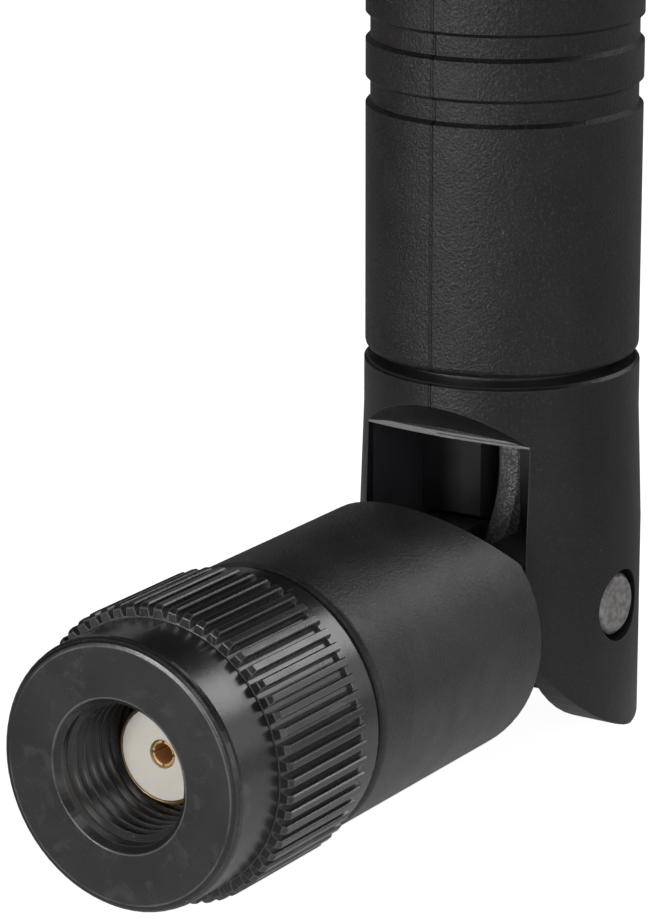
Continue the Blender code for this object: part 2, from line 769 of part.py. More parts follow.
def radome():
    """The mast's moulded cover: closed at the tip, with two rings grooved in near its foot."""
    tip = MAST_TIP_RADIUS
    radius = MAST_DIAMETER / 2
    outline = [(0.0, MAST_TOP_HEIGHT)]
    outline += reversed(arc((radius - tip, MAST_TOP_HEIGHT - tip), tip, 0, 90, 8))
    for height in sorted(GROOVE_HEIGHTS, reverse=True):
        half = GROOVE_WIDTH / 2
        deep = radius - GROOVE_DEPTH
        outline += [
            (radius, height + half),
            (radius - GROOVE_DEPTH / 4, height + half - GROOVE_EDGE / 4),
            (deep, height + half - GROOVE_EDGE),
            (deep, height - half + GROOVE_EDGE),
            (radius - GROOVE_DEPTH / 4, height - half + GROOVE_EDGE / 4),
            (radius, height - half),
        ]
    edge = MAST_EDGE_RADIUS
    outline += arc((radius - edge, MAST_BOTTOM + edge), edge, 0, -90)
    bore = MAST_BORE / 2
    ceiling = MAST_TOP_HEIGHT - MAST_TIP_WALL
    outline += [(bore, MAST_BOTTOM), (bore, ceiling - tip), (bore - tip, ceiling), (0.0, ceiling)]
    cover = turned("radome", outline, "Z", matt_black(), open_ended=True)
    move_to_mast(cover)
    return cover


def move_to_mast(item):
    """Move a piece turned about Z onto the mast's axis."""
    item.data.transform(Matrix.Translation((0.0, HINGE_REACH, 0.0)))


def lower_spacer():
    """The nylon bush that stands on the fork's spigot and centres the brass sleeve."""
    outer = MAST_BORE / 2 - CLOSE_FIT
    nose = SLEEVE_DIAMETER / 2 - SLEEVE_WALL - CLOSE_FIT
    shelf = SLEEVE_BOTTOM - CLOSE_FIT
    top = SPACER_BOTTOM + SPACER_LENGTH
    hole = SPACER_HOLE_DIAMETER / 2
    outline = [
        (nose, top),
        (nose, shelf),
        (outer, shelf),
        (outer, SPACER_BOTTOM),
        (hole, SPACER_BOTTOM),
        (hole, top),
    ]
    spacer = turned("lower_spacer", outline, "Z", clear_nylon(), steps=SMALL_ROUND)
    move_to_mast(spacer)
    return spacer


def radiator_sleeve():
    """The brass sleeve, open below, closed above round the cable."""
    outer = SLEEVE_DIAMETER / 2
    inner = outer - SLEEVE_WALL
    hole = CABLE_HOLE / 2
    outline = [
        (hole, SLEEVE_TOP),
        (outer, SLEEVE_TOP),
        (outer, SLEEVE_BOTTOM),
        (inner, SLEEVE_BOTTOM),
        (inner, SLEEVE_TOP - SLEEVE_CAP),
        (hole, SLEEVE_TOP - SLEEVE_CAP),
    ]
    sleeve = turned("radiator_sleeve", outline, "Z", brass(), steps=SMALL_ROUND)
    move_to_mast(sleeve)
    return sleeve


def feed_insulator():
    """The insulator on the sleeve, which holds the foot of the upper wire."""
    outer = FEED_DIAMETER / 2
    core = CABLE_CORE_DIAMETER / 2 + CLOSE_FIT
    cable = CABLE_HOLE / 2
    wire = WIRE_DIAMETER / 2 + CLOSE_FIT
    cable_top = FEED_BOTTOM + FEED_LENGTH / 4
    wire_foot = WIRE_BOTTOM - CLOSE_FIT
    outline = [
        (wire, FEED_TOP),
        (outer, FEED_TOP),
        (outer, FEED_BOTTOM),
        (cable, FEED_BOTTOM),
        (cable, cable_top),
        (core, cable_top),
        (core, wire_foot),
        (wire, wire_foot),
    ]
    piece = turned("feed_insulator", outline, "Z", white_dielectric(), steps=SMALL_ROUND)
    move_to_mast(piece)
    return piece


def upper_radiator():
    """The upper wire with its loading coil."""
    points = [(0.0, 0.0, WIRE_BOTTOM), (0.0, 0.0, COIL_BOTTOM - COIL_PITCH)]
    per_turn = 12
    radius = COIL_DIAMETER / 2
    for step in range(COIL_TURNS * per_turn + 1):
        angle = 2 * math.pi * step / per_turn
        height = COIL_BOTTOM + COIL_PITCH * step / per_turn
        points.append((radius * math.cos(angle), radius * math.sin(angle), height))
    points += [(0.0, 0.0, COIL_TOP + COIL_PITCH), (0.0, 0.0, WIRE_END)]
    wire = tube("upper_radiator", points, WIRE_DIAMETER, brass())
    move_to_mast(wire)
    return wire


def shrink_tube():
    """The shrunk sleeve over the upper wire's foot, standing on the feed insulator."""
    inner = WIRE_DIAMETER / 2 + CLOSE_FIT
    outer = inner + SHRINK_WALL
    foot = FEED_TOP + CLOSE_FIT
    top = foot + SHRINK_LENGTH
    outline = [(inner, top), (outer, top), (outer, foot), (inner, foot)]
    piece = turned("shrink_tube", outline, "Z", black_jacket(), steps=SMALL_ROUND)
    move_to_mast(piece)
    return piece


def top_spacer():
    """The nylon disc that centres the wire's upper end in the mast."""
    outer = MAST_BORE / 2 - CLOSE_FIT
    hole = WIRE_DIAMETER / 2 + CLOSE_FIT
    foot = WIRE_END - TOP_SPACER_LENGTH
    cap = WIRE_END + TOP_SPACER_LENGTH / 2
    outline = [
        (0.0, cap),
        (outer, cap),
        (outer, foot),
        (hole, foot),
        (hole, WIRE_END + CLOSE_FIT),
        (0.0, WIRE_END + CLOSE_FIT),
    ]
    piece = turned("top_spacer", outline, "Z", clear_nylon(), steps=SMALL_ROUND, open_ended=True)
    move_to_mast(piece)
    return piece


def cable_route(end):
    """Points from the plug, round the hinge, up the fork's channel and onto the mast's axis."""
    bend = CABLE_BEND_RADIUS
    back = HINGE_REACH + CABLE_SETBACK
    points = [(0.0, CABLE_START, 0.0)]
    points += [(0.0, along, up) for along, up in arc((back - bend, bend), bend, -90, 0, 12)]
    foot = SPACER_BOTTOM + SPACER_LENGTH
    steps = 2 * ARC_STEPS
    for step in range(steps + 1):
        share = (1 - math.cos(math.pi * step / steps)) / 2
        height = foot + CABLE_RETURN_LENGTH * step / steps
        points.append((0.0, back - CABLE_SETBACK * share, height))
    points.append((0.0, HINGE_REACH, end))
    return points


def coax_cable():
    """The cable from the plug through the hinge to the feed point, with its bared core."""
    end = FEED_BOTTOM + FEED_LENGTH / 4 - CLOSE_FIT
    cable = tube("coax_cable", cable_route(end), CABLE_DIAMETER, black_jacket(), sides=4)
    tip = WIRE_BOTTOM - CLOSE_FIT
    start = (0.0, HINGE_REACH, end - CABLE_DIAMETER)
    core = rod("cable_core", start, (0.0, HINGE_REACH, tip), CABLE_CORE_DIAMETER, steps=12)
    join(cable, core)
    return cable


def build():
    """Model every piece."""
    clear_scene()
    coupling_nut()
    retaining_ring()
    connector_body()
    dielectric()
    center_contact()
    crimp_ferrule()
    swivel_arm()
    hinge_fork()
    hinge_pin("hinge_pin_right", 1)
    hinge_pin("hinge_pin_left", -1)
    radome()
    lower_spacer()
    radiator_sleeve()
    feed_insulator()
    shrink_tube()
    upper_radiator()
    top_spacer()
    coax_cable()


build()
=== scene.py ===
import math

import bmesh
import bpy
from mathutils import Matrix, Vector


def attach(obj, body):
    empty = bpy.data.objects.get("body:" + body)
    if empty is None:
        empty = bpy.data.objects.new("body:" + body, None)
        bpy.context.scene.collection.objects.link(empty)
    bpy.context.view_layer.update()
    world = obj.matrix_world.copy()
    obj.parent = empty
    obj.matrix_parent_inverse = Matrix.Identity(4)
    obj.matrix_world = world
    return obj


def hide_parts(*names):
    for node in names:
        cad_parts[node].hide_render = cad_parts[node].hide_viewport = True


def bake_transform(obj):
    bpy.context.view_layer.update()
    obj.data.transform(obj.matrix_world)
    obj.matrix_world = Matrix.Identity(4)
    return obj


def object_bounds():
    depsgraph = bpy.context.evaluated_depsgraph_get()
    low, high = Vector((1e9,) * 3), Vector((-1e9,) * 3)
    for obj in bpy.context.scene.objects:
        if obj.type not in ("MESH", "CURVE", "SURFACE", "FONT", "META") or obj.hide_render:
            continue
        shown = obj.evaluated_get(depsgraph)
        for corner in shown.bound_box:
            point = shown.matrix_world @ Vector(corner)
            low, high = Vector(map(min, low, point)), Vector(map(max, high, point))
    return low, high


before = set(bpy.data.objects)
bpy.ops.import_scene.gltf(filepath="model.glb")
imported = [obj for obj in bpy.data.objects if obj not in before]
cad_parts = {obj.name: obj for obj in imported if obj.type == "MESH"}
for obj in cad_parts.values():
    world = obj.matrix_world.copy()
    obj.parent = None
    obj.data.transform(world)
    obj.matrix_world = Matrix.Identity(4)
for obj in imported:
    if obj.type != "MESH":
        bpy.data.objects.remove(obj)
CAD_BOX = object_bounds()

# Lengths are in metres and angles in degrees, unless a name or a call says otherwise.
# A noise is (scale, detail, roughness) or (scale, detail, roughness, distortion).
# A step is (start, end): 0 up to the start, 1 from the end on.
# A coat is (strength, colour): how strongly a colour is laid over a material, and which.
# A range is (low, high): the values that a noise from 0 to 1 is spread over.

# The picture: the photograph's size in pixels, and the camera solved from it
IMAGE = (650, 919)
FOCAL_PX = 4169.9
SENSOR_MM = 36.0
HINGE_Y = 0.02825
CAM_AZIMUTH = 33.049
CAM_ELEVATION = 16.553
CAM_DISTANCE = 0.205492
CAM_ROLL = -0.105
CAM_TARGET = (-0.010036, HINGE_Y, 0.004507)
CAM_NEAR = 0.01
CAM_FAR = 10.0

# The part's axes: the letter of the direction, and a point on the axis
ARM_AXIS = ("Y", (0.0, 0.0, 0.0))
MAST_AXIS = ("Z", (0.0, HINGE_Y, 0.0))
PIN_AXIS = ("X", (0.0, HINGE_Y, 0.0))

# The nut: places along the arm's axis, and radii about it
NUT_FRONT = -0.00325
NUT_FACE_EDGE = 0.00574
NUT_MOUTH_EDGE = 0.003475
KNURL_FRONT = -0.00015
KNURL_REAR = 0.00595
KNURL_FLOOR = 0.00622
KNURL_DEEP = 0.00042

# The nut's thread
THREAD_MAJOR = 0.003175
THREAD_MINOR = 0.00293
THREAD_PITCH = 0.00062
THREAD_START = -0.0027
THREAD_END = 0.00205
THREAD_TURN = math.radians(-60.0)
THREAD_STEPS = 72
THREAD_SINK = 0.00004
THREAD_FOOT = 0.00006
THREAD_SHOULDER = 0.00005
THREAD_SHARES = (0.98, 0.80, 0.34, 0.12)
THREAD_RUN_OUT = 0.6
SHARP_ANGLE = math.radians(50.0)

# The fork: its pocket, the lip over the pocket's mouth, and its top, which get painted shade, a
# painted highlight and painted light
ARCH_TOP = 0.0103
ROOF = 0.0085
LIP_Y = HINGE_Y - 0.00483
SLOT_HALF = 0.00442
FORK_TOP = 0.01145
FORK_TOP_EDGE = FORK_TOP - 0.00005
POCKET_MARGIN = 0.00003
POCKET_FRONT = LIP_Y + 0.0004
POCKET_SIDE_LIMIT = 0.6
POCKET_SMOOTHING = 0.85
LIP_FOOT = ROOF - 0.00001
LIP_TOP = ROOF + 0.00027
LIP_REACH = 0.0005
LIP_FACING = -0.9
LIP_SPLIT_Z = ROOF + 0.00014
LIP_SPLIT_HALF = 0.00003
LIP_SPLIT_START = -0.0004
LIP_SPLIT_SHARE = 0.85

# Rounded normals
EDGE_ROUNDING = 0.00007
EDGE_FIND_ROUNDING = 0.00010
ROUNDING_SAMPLES = 6
ROUND_MATCH = 0.9965

# The mould's parting line
SEAM_X = 0.0
SEAM_WIDTH = 0.00016
SEAM_DEPTH = 0.00006
SEAM_CORE = 0.3
SEAM_FADE = 0.6
SEAM_NOISE = (700.0, 2.0, 0.5)
SEAM_WANDER = 0.00005
SEAM_BEHIND = HINGE_Y - 0.005
SEAM_FOOT = ARCH_TOP - 0.0002
SEAM_NO_TOP = 1.0
SEAM_STRENGTH = 0.95
SEAM_SHADE = 0.12

# Black plastic
PLASTIC_CLOUD = (420.0, 4.0, 0.6)
PLASTIC_CLOUD_STEP = (0.35, 0.68)
PLASTIC_MOTTLE = 0.25
# Light specks in the colour: painted glints that stand for the grain's sparkle
PLASTIC_GLINT_SPECKS = (9500.0, 1.0, 0.5)
PLASTIC_GLINT_STEP = (0.56, 0.72)
PLASTIC_DUST = (6200.0, 0.0, 0.5)
PLASTIC_DUST_STEP = (0.885, 0.90)
PLASTIC_DUST_COAT = (0.6, (0.20, 0.195, 0.19))
PLASTIC_EDGE_STEP = (0.01, 0.10)
PLASTIC_EDGE_LIFT = 4.0
PLASTIC_GRAIN = (3.0, 0.65)
PLASTIC_PIT_SCALE = 0.6
PLASTIC_PIT_SHARE = 0.5
PLASTIC_GLOSS = (900.0, 3.0, 0.6)
PLASTIC_GLOSS_BELOW = 0.06
PLASTIC_GLOSS_ABOVE = 0.07

MAST_TONE = (0.0110, 0.0100, 0.0103)
MAST_WARM = (0.003, 0.001, 0.001)
MAST_GRAIN_DEPTH = 0.000040
FORK_TONE = (0.0145, 0.0138, 0.0145)
FORK_WARM = (0.003, 0.001, 0.001)
FORK_GRAIN_DEPTH = 0.000018
# Painted shade darkens the fork's pocket
FORK_POCKET_SHADE_COAT = (0.7, (0.010, 0.010, 0.014))
# Painted light on the pocket's side walls
FORK_WALL_LIGHT_COAT = (0.9, (0.070, 0.069, 0.082))
# A painted highlight on the lip over the pocket's mouth
FORK_LIP_HIGHLIGHT_COAT = (0.9, (0.28, 0.27, 0.265))
# Painted light on the fork's top face, in the gap under the mast
FORK_TOP_LIGHT_COAT = (0.6, (0.055, 0.054, 0.054))
BARREL_TONE = (0.046, 0.044, 0.044)
BARREL_WARM = (0.008, 0.005, 0.004)
BARREL_GRAIN_DEPTH = 0.000020

# The nut's finish, with painted light in the knurl's grooves and painted highlights on its
# edges. A ring is (radius, half width, front, rear).
NUT_CLOUD = (260.0, 5.0, 0.6, 0.5)
NUT_CLOUD_STEP = (0.30, 0.70)
NUT_DARK = (0.020, 0.020, 0.022)
NUT_LIGHT = (0.040, 0.037, 0.038)
NUT_STAIN = (640.0, 4.0, 0.7, 0.8)
NUT_STAIN_STEP = (0.55, 0.72)
NUT_STAIN_COAT = (0.65, (0.085, 0.070, 0.070))
# Painted light in the knurl's grooves
NUT_GROOVE_RING = (KNURL_FLOOR, KNURL_DEEP, KNURL_FRONT, KNURL_REAR)
NUT_GROOVE_LIGHT_COAT = (0.9, (0.17, 0.165, 0.165))
NUT_STREAKS = (1.0, 3.0, 0.6)
NUT_STREAK_STRETCH = (900.0, 5200.0, 900.0)
NUT_STREAK_SHARE = 0.6
NUT_SCRATCH = (1.0, 1.0, 0.4)
NUT_SCRATCH_STRETCH = (2600.0, 300.0, 160.0)
NUT_SCRATCH_TURN = (0.3, 0.5, 0.2)
NUT_SCRATCH_STEP = (0.73, 0.75)
NUT_SCRATCH_COAT = (0.6, (0.14, 0.135, 0.13))
NUT_DUST = (6800.0, 0.0, 0.5)
NUT_DUST_STEP = (0.87, 0.885)
NUT_DUST_COAT = (0.7, (0.30, 0.29, 0.28))
NUT_CORNER_STEP = (0.004, 0.05)
NUT_CORNER_COAT = (0.75, (0.17, 0.165, 0.16))
NUT_PATCHES = (520.0, 2.0, 0.5)
NUT_PATCH_STEP = (0.30, 0.62)
# Painted highlights on the front face's outer edge and on the bore's mouth, with painted shade
# in a ring just outside the edge
NUT_EDGE_RING = (NUT_FACE_EDGE, 0.00005, NUT_FRONT - 0.001, NUT_FRONT + 0.0002)
NUT_EDGE_HIGHLIGHT_COAT = (0.8, (0.15, 0.145, 0.14))
NUT_SHADE_RING = (NUT_FACE_EDGE + 0.00014, 0.00009, NUT_FRONT - 0.001, NUT_FRONT + 0.0003)
NUT_SHADE_COAT = (0.7, (0.006, 0.006, 0.007))
NUT_MOUTH_RING = (NUT_MOUTH_EDGE, 0.00006, NUT_FRONT - 0.001, NUT_FRONT + 0.0002)
NUT_MOUTH_HIGHLIGHT_COAT = (0.8, (0.17, 0.165, 0.16))
NUT_GLOSS = (500.0, 4.0, 0.6, 0.4)
NUT_ROUGHNESS = (0.15, 0.36)
NUT_SPECULAR = 0.95
NUT_FINE = (12000.0, 2.0, 0.5)
NUT_FINE_SHARE = 0.4
NUT_GRAIN_DEPTH = 0.000004
# The thread's copy of the nut's finish is lighter: painted light inside the bore
THREAD_PAINTED_LIGHT = 1.8
RING_CORE = 0.5

# The pins' steel
STEEL_CLOUD = (2600.0, 4.0, 0.65)
STEEL_CLOUD_STEP = (0.35, 0.66)
STEEL_DARK = (0.26, 0.25, 0.245)
STEEL_LIGHT = (0.56, 0.55, 0.54)
STEEL_GLOSS = (5200.0, 3.0, 0.6)
STEEL_ROUGHNESS = (0.42, 0.66)
STEEL_PITS = (4200.0, 3.0, 0.7)
STEEL_PIT_DEPTH = 0.00004
STEEL_METALLIC = 0.85

# Gold plating and brass
GOLD_CLOUD = (900.0, 4.0, 0.6)
GOLD_CLOUD_STEP = (0.30, 0.62)
GOLD_TARNISH = 0.55
GOLD_MARKS = (1.0, 2.0, 0.5)
GOLD_MARK_STRETCH = (2500.0, 9000.0, 2500.0)
GOLD_MARK_DEPTH = 0.000003
GOLD_GLOSS_BELOW = 0.07
GOLD_GLOSS_ABOVE = 0.10
PLATING_TONE, PLATING_ROUGHNESS = (0.80, 0.56, 0.24), 0.28
BRASS_TONE, BRASS_ROUGHNESS = (0.66, 0.47, 0.22), 0.38
CONTACT_TONE, CONTACT_ROUGHNESS = (1.0, 0.64, 0.30), 0.40
CONTACT_METALLIC = 0.45

# The white insulator
WHITE_CLOUD = (700.0, 3.0, 0.6)
WHITE_DARK = (0.78, 0.735, 0.645)
WHITE_LIGHT = (0.90, 0.865, 0.785)
WHITE_WAVES = (3000.0, 2.0, 0.5)
WHITE_WAVE_DEPTH = 0.000008
WHITE_ROUGHNESS = (0.34, 0.48)
WHITE_SUBSURFACE = 0.12
WHITE_SUBSURFACE_SCALE = 0.0006

# The spacers' nylon
NYLON_CLOUD = (500.0, 3.0, 0.6)
NYLON_DARK = (0.55, 0.53, 0.45)
NYLON_LIGHT = (0.68, 0.66, 0.58)
NYLON_ROUGHNESS = (0.38, 0.52)
NYLON_DEPTH = 0.00001

# The cable's jacket: its grey clouds are a painted sheen on a black jacket
JACKET_CLOUD = (1500.0, 3.0, 0.6)
JACKET_DARK = (0.14, 0.135, 0.133)
JACKET_LIGHT = (0.33, 0.32, 0.31)
JACKET_CELLS = 7500.0
JACKET_CELL_STEP = (0.25, 0.65)
JACKET_CELL_SHARE = 0.7
JACKET_CELL_TONE = (0.035, 0.034, 0.034)
JACKET_ROUGHNESS = (0.30, 0.45)
JACKET_DEPTH = 0.000025

# The floor: it glows for the camera, and gives a little light near the plug to other rays
FLOOR_HALF = 6.0
FLOOR_GAP = 0.0002
FLOOR_TONE = 0.90
FLOOR_ROUGHNESS = 0.9
FLOOR_GLOW = 0.95
FLOOR_BOUNCE = 0.28
BOUNCE_CENTRE = (0.016, 0.015, 0.0)
BOUNCE_NEAR = 0.010
BOUNCE_FAR = 0.038

# The light panels: name, azimuth, elevation, (width, height), power in watts
LIGHT_DISTANCE = 0.5
LIGHT_TARGET = (0.0, 0.015, 0.01)
LIGHTS = (
    ("front_left", -20, 8, (0.12, 0.18), 0.92),
    ("front", 5, 8, (0.18, 0.18), 0.42),
    ("far_left", -35, 8, (0.18, 0.18), 0.03),
    ("front_high", 20, 35, (0.18, 0.18), 0.12),
    ("right", 60, 8, (0.18, 0.18), 0.20),
    ("far_right", 90, 10, (0.18, 0.18), 0.15),
    ("back_low", 140, 10, (0.30, 0.18), 0.13),
    ("back", 155, 30, (0.18, 0.18), 0.32),
    ("back_high", 155, 55, (0.18, 0.18), 0.11),
    ("back_left", 225, 20, (0.18, 0.18), 0.03),
)
WHITE = (1, 1, 1, 1)
WORLD_LIGHT = 0.004
WORLD_SEEN = 1.0


def direction(azimuth, elevation):
    """The direction from the part to a place around it: azimuth 0 is the plug's side."""
    a, e = math.radians(azimuth), math.radians(elevation)
    return Vector((math.sin(a) * math.cos(e), -math.cos(a) * math.cos(e), math.sin(e)))


def link(item):
    bpy.context.scene.collection.objects.link(item)
    return item


def times(colour, factor):
    return tuple(c * factor for c in colour)


def add_camera():
    """The camera of the photograph: a long lens, slightly rolled."""
    back = direction(CAM_AZIMUTH, CAM_ELEVATION)
    azimuth = math.radians(CAM_AZIMUTH)
    right = Vector((math.cos(azimuth), math.sin(azimuth), 0))
    up = back.cross(right)
    roll = math.radians(CAM_ROLL)
    across = math.cos(roll) * right + math.sin(roll) * up
    above = -math.sin(roll) * right + math.cos(roll) * up
    data = bpy.data.cameras.new("camera")
    data.sensor_width = SENSOR_MM
    data.lens = FOCAL_PX * SENSOR_MM / max(IMAGE)
    data.clip_start = CAM_NEAR
    data.clip_end = CAM_FAR
    camera = link(bpy.data.objects.new("camera", data))
    turn = Matrix((across, above, back)).transposed().to_4x4()
    camera.matrix_world = Matrix.Translation(Vector(CAM_TARGET) + back * CAM_DISTANCE) @ turn
    bpy.context.scene.camera = camera


class Nodes:
    """A short way to write a material's node tree."""

    def __init__(self, name):
        self.material = bpy.data.materials.new(name)
        self.material.use_nodes = True
        self.tree = self.material.node_tree
        self.shader = self.tree.nodes["Principled BSDF"]

    def new(self, kind, **settings):
        node = self.tree.nodes.new(kind)
        for key, value in settings.items():
            setattr(node, key, value)
        return node

    def put(self, socket, value):
        """Set a socket, or link it from another node's output."""
        if isinstance(value, bpy.types.NodeSocket):
            self.tree.links.new(value, socket)
        else:
            socket.default_value = value

    def finish(self, **sockets):
        """Set the shader's sockets and give the material."""
        for name, value in sockets.items():
            self.put(self.shader.inputs[name.replace("_", " ")], value)
        return self.material

    # Places and directions

    def place(self):
        """The place, in the object's own space."""
        return self.new("ShaderNodeTexCoord").outputs["Object"]

    def parts(self, source=None):
        """X, Y and Z of the place, or of another vector."""
        split = self.new("ShaderNodeSeparateXYZ")
        self.put(split.inputs["Vector"], source or self.place())
        return split.outputs["X"], split.outputs["Y"], split.outputs["Z"]

    def scaled(self, scale, rotation=(0, 0, 0)):
        """The place, stretched, with the rotation in radians."""
        node = self.new("ShaderNodeMapping")
        self.put(node.inputs["Vector"], self.place())
        node.inputs["Scale"].default_value = scale
        node.inputs["Rotation"].default_value = rotation
        return node.outputs["Vector"]

    def turn(self, vector, source, target):
        """A normal from one space to another."""
        node = self.new("ShaderNodeVectorTransform", vector_type="NORMAL")
        node.convert_from = source
        node.convert_to = target
        self.put(node.inputs["Vector"], vector)
        return node.outputs["Vector"]

    def face_normal(self):
        return self.new("ShaderNodeNewGeometry").outputs["True Normal"]

    def own_normal(self):
        """The face's normal, in the object's own space."""
        return self.turn(self.face_normal(), "WORLD", "OBJECT")

    # Patterns

    def noise(self, scale, detail, roughness, distortion=0.0, source=None):
        node = self.new("ShaderNodeTexNoise")
        self.put(node.inputs["Vector"], source or self.place())
        node.inputs["Scale"].default_value = scale
        node.inputs["Detail"].default_value = detail
        node.inputs["Roughness"].default_value = roughness
        node.inputs["Distortion"].default_value = distortion
        return node.outputs["Fac"]

    def voronoi(self, scale):
        node = self.new("ShaderNodeTexVoronoi")
        self.put(node.inputs["Vector"], self.place())
        node.inputs["Scale"].default_value = scale
        return node.outputs["Distance"]

    # Numbers

    def math(self, operation, *values):
        node = self.new("ShaderNodeMath", operation=operation)
        for socket, value in zip(node.inputs, values):
            self.put(socket, value)
        return node.outputs["Value"]

    def vector(self, operation, *values, output="Vector"):
        node = self.new("ShaderNodeVectorMath", operation=operation)
        for socket, value in zip(node.inputs, values):
            self.put(socket, value)
        return node.outputs[output]

    def step(self, source, start, end, top=1.0):
        """0 below the start and the top value above the end, with a straight rise between."""
        node = self.new("ShaderNodeValToRGB")
        for element, place, value in zip(node.color_ramp.elements, (start, end), (0.0, top)):
            element.position = place
            element.color = (value, value, value, 1.0)
        self.put(node.inputs["Fac"], source)
        return node.outputs["Color"]

    def limits(self, value, start, end):
        """0 below the start and 1 above the end, with a smooth rise between."""
        node = self.new("ShaderNodeMapRange", interpolation_type="SMOOTHSTEP")
        self.put(node.inputs["Value"], value)
        node.inputs["From Min"].default_value = start
        node.inputs["From Max"].default_value = end
        return node.outputs["Result"]

    def spread(self, source, low, high):
        """A number from 0 to 1, spread over a range."""
        node = self.new("ShaderNodeMapRange")
        self.put(node.inputs["Value"], source)
        node.inputs["To Min"].default_value = low
        node.inputs["To Max"].default_value = high
        return node.outputs["Result"]

    def all_of(self, *shares):
        """The product of several shares."""
        total = shares[0]
        for share in shares[1:]:
            total = self.math("MULTIPLY", total, share)
        return total

    def apart(self, value, centre):
        """How far a value is from a centre."""
        return self.math("ABSOLUTE", self.math("SUBTRACT", value, centre))

    def rest_of(self, share):
        """What a share leaves of 1."""
        return self.math("SUBTRACT", 1.0, share)

    # Colours

    def mix(self, share, low, high):
        node = self.new("ShaderNodeMix", data_type="RGBA")
        self.put(node.inputs["Factor"], share)
        for name, colour in (("A", low), ("B", high)):
            linked = isinstance(colour, bpy.types.NodeSocket)
            self.put(node.inputs[name], colour if linked else (*colour, 1.0))
        return node.outputs["Result"]

    def coat(self, colour, share, strength, tone):
        """Lay a tone over a colour where the share is 1."""
        return self.mix(self.math("MULTIPLY", share, strength), colour, tone)

    # Normals

    def rounded(self, radius):
        """A normal that is rounded over the edges within a small radius."""
        node = self.new("ShaderNodeBevel", samples=ROUNDING_SAMPLES)
        node.inputs["Radius"].default_value = radius
        return node.outputs["Normal"]

    def radial(self, axis):
        """The direction away from an axis, in the object's own space."""
        letter, centre = axis
        keep = tuple(0.0 if letter == name else 1.0 for name in "XYZ")
        arm = self.vector("MULTIPLY", self.vector("SUBTRACT", self.place(), centre), keep)
        return self.vector("NORMALIZE", arm)

    def true_round(self, axis):
        """The exact normal on a cylinder about this axis, and a rounded one elsewhere."""
        soft = self.rounded(EDGE_ROUNDING)
        if axis is None:
            return soft
        out = self.radial(axis)
        along = self.vector("DOT_PRODUCT", self.own_normal(), out, output="Value")
        match = self.math("GREATER_THAN", self.math("ABSOLUTE", along), ROUND_MATCH)
        # 1 on an outside and -1 in a bore, and never 0, which would leave no normal
        side = self.math("MULTIPLY_ADD", self.math("GREATER_THAN", along, 0.0), 2.0, -1.0)
        exact = self.turn(self.vector("MULTIPLY", out, side), "OBJECT", "WORLD")
        change = self.vector("MULTIPLY", self.vector("SUBTRACT", exact, soft), match)
        return self.vector("ADD", soft, change)

    def bump(self, height, distance, axis=None):
        node = self.new("ShaderNodeBump")
        node.inputs["Strength"].default_value = 1.0
        node.inputs["Distance"].default_value = distance
        self.put(node.inputs["Height"], height)
        self.put(node.inputs["Normal"], self.true_round(axis))
        return node.outputs["Normal"]

    def edge_share(self, start, end):
        """1 on an edge or corner, 0 on a flat or gently curved face."""
        soft, flat = self.rounded(EDGE_FIND_ROUNDING), self.face_normal()
        both = self.vector("DOT_PRODUCT", soft, flat, output="Value")
        return self.limits(self.rest_of(both), start, end)


def seam_line(n, top):
    """The mould's parting line down the front, up to a height: 1 on the line, 0 beside it."""
    x, y, z = n.parts()
    wander = n.math("MULTIPLY", n.math("SUBTRACT", n.noise(*SEAM_NOISE), 0.5), SEAM_WANDER)
    aside = n.apart(n.math("ADD", x, wander), SEAM_X)
    line = n.rest_of(n.limits(aside, SEAM_WIDTH * SEAM_CORE, SEAM_WIDTH * SEAM_FADE))
    front = n.math("LESS_THAN", y, SEAM_BEHIND)
    above = n.math("GREATER_THAN", z, SEAM_FOOT)
    return n.all_of(line, front, above, n.math("LESS_THAN", z, top))


def seamed(n, tone, colour, height, grain_depth, top):
    """Draw the parting line into a plastic's colour and height."""
    line = seam_line(n, top)
    colour = n.coat(colour, line, SEAM_STRENGTH, times(tone, SEAM_SHADE))
    height = n.math("SUBTRACT", height, n.math("MULTIPLY", line, SEAM_DEPTH / grain_depth))
    return colour, height


def pocket_share(n):
    """1 on the walls of the fork's pocket, 0 on its outside."""
    x, y, z = n.parts()
    within = n.math("LESS_THAN", n.math("ABSOLUTE", x), SLOT_HALF + POCKET_MARGIN)
    under = n.math("LESS_THAN", z, ROOF + POCKET_MARGIN)
    behind = n.math("GREATER_THAN", y, POCKET_FRONT)
    return n.all_of(within, under, behind)


def side_share(n):
    """1 on faces that look along X, up or down, 0 on those that look along Y."""
    facing = n.parts(n.own_normal())[1]
    return n.math("LESS_THAN", n.math("ABSOLUTE", facing), POCKET_SIDE_LIMIT)


def lip_highlight_share(n):
    """Where the lip over the pocket's mouth gets a painted highlight: 1 on the small upright
    lip, but for the line that splits it.
    """
    x, y, z = n.parts()
    within = n.math("LESS_THAN", n.math("ABSOLUTE", x), SLOT_HALF)
    low = n.math("GREATER_THAN", z, LIP_FOOT)
    high = n.math("LESS_THAN", z, LIP_TOP)
    line = n.math("LESS_THAN", n.apart(z, LIP_SPLIT_Z), LIP_SPLIT_HALF)
    split = n.math("MULTIPLY", line, n.math("GREATER_THAN", x, LIP_SPLIT_START))
    whole = n.rest_of(n.math("MULTIPLY", split, LIP_SPLIT_SHARE))
    near = n.math("LESS_THAN", n.apart(y, LIP_Y), LIP_REACH)
    upright = n.math("LESS_THAN", n.parts(n.own_normal())[1], LIP_FACING)
    return n.all_of(within, low, high, near, upright, whole)


def ring_share(n, radius, half_width, front, rear):
    """1 on a thin ring about the arm's axis, between two places along it."""
    x, y, z = n.parts()
    squares = n.math("ADD", n.math("MULTIPLY", x, x), n.math("MULTIPLY", z, z))
    away = n.apart(n.math("SQRT", squares), radius)
    line = n.rest_of(n.limits(away, half_width * RING_CORE, half_width))
    return n.all_of(line, n.math("GREATER_THAN", y, front), n.math("LESS_THAN", y, rear))


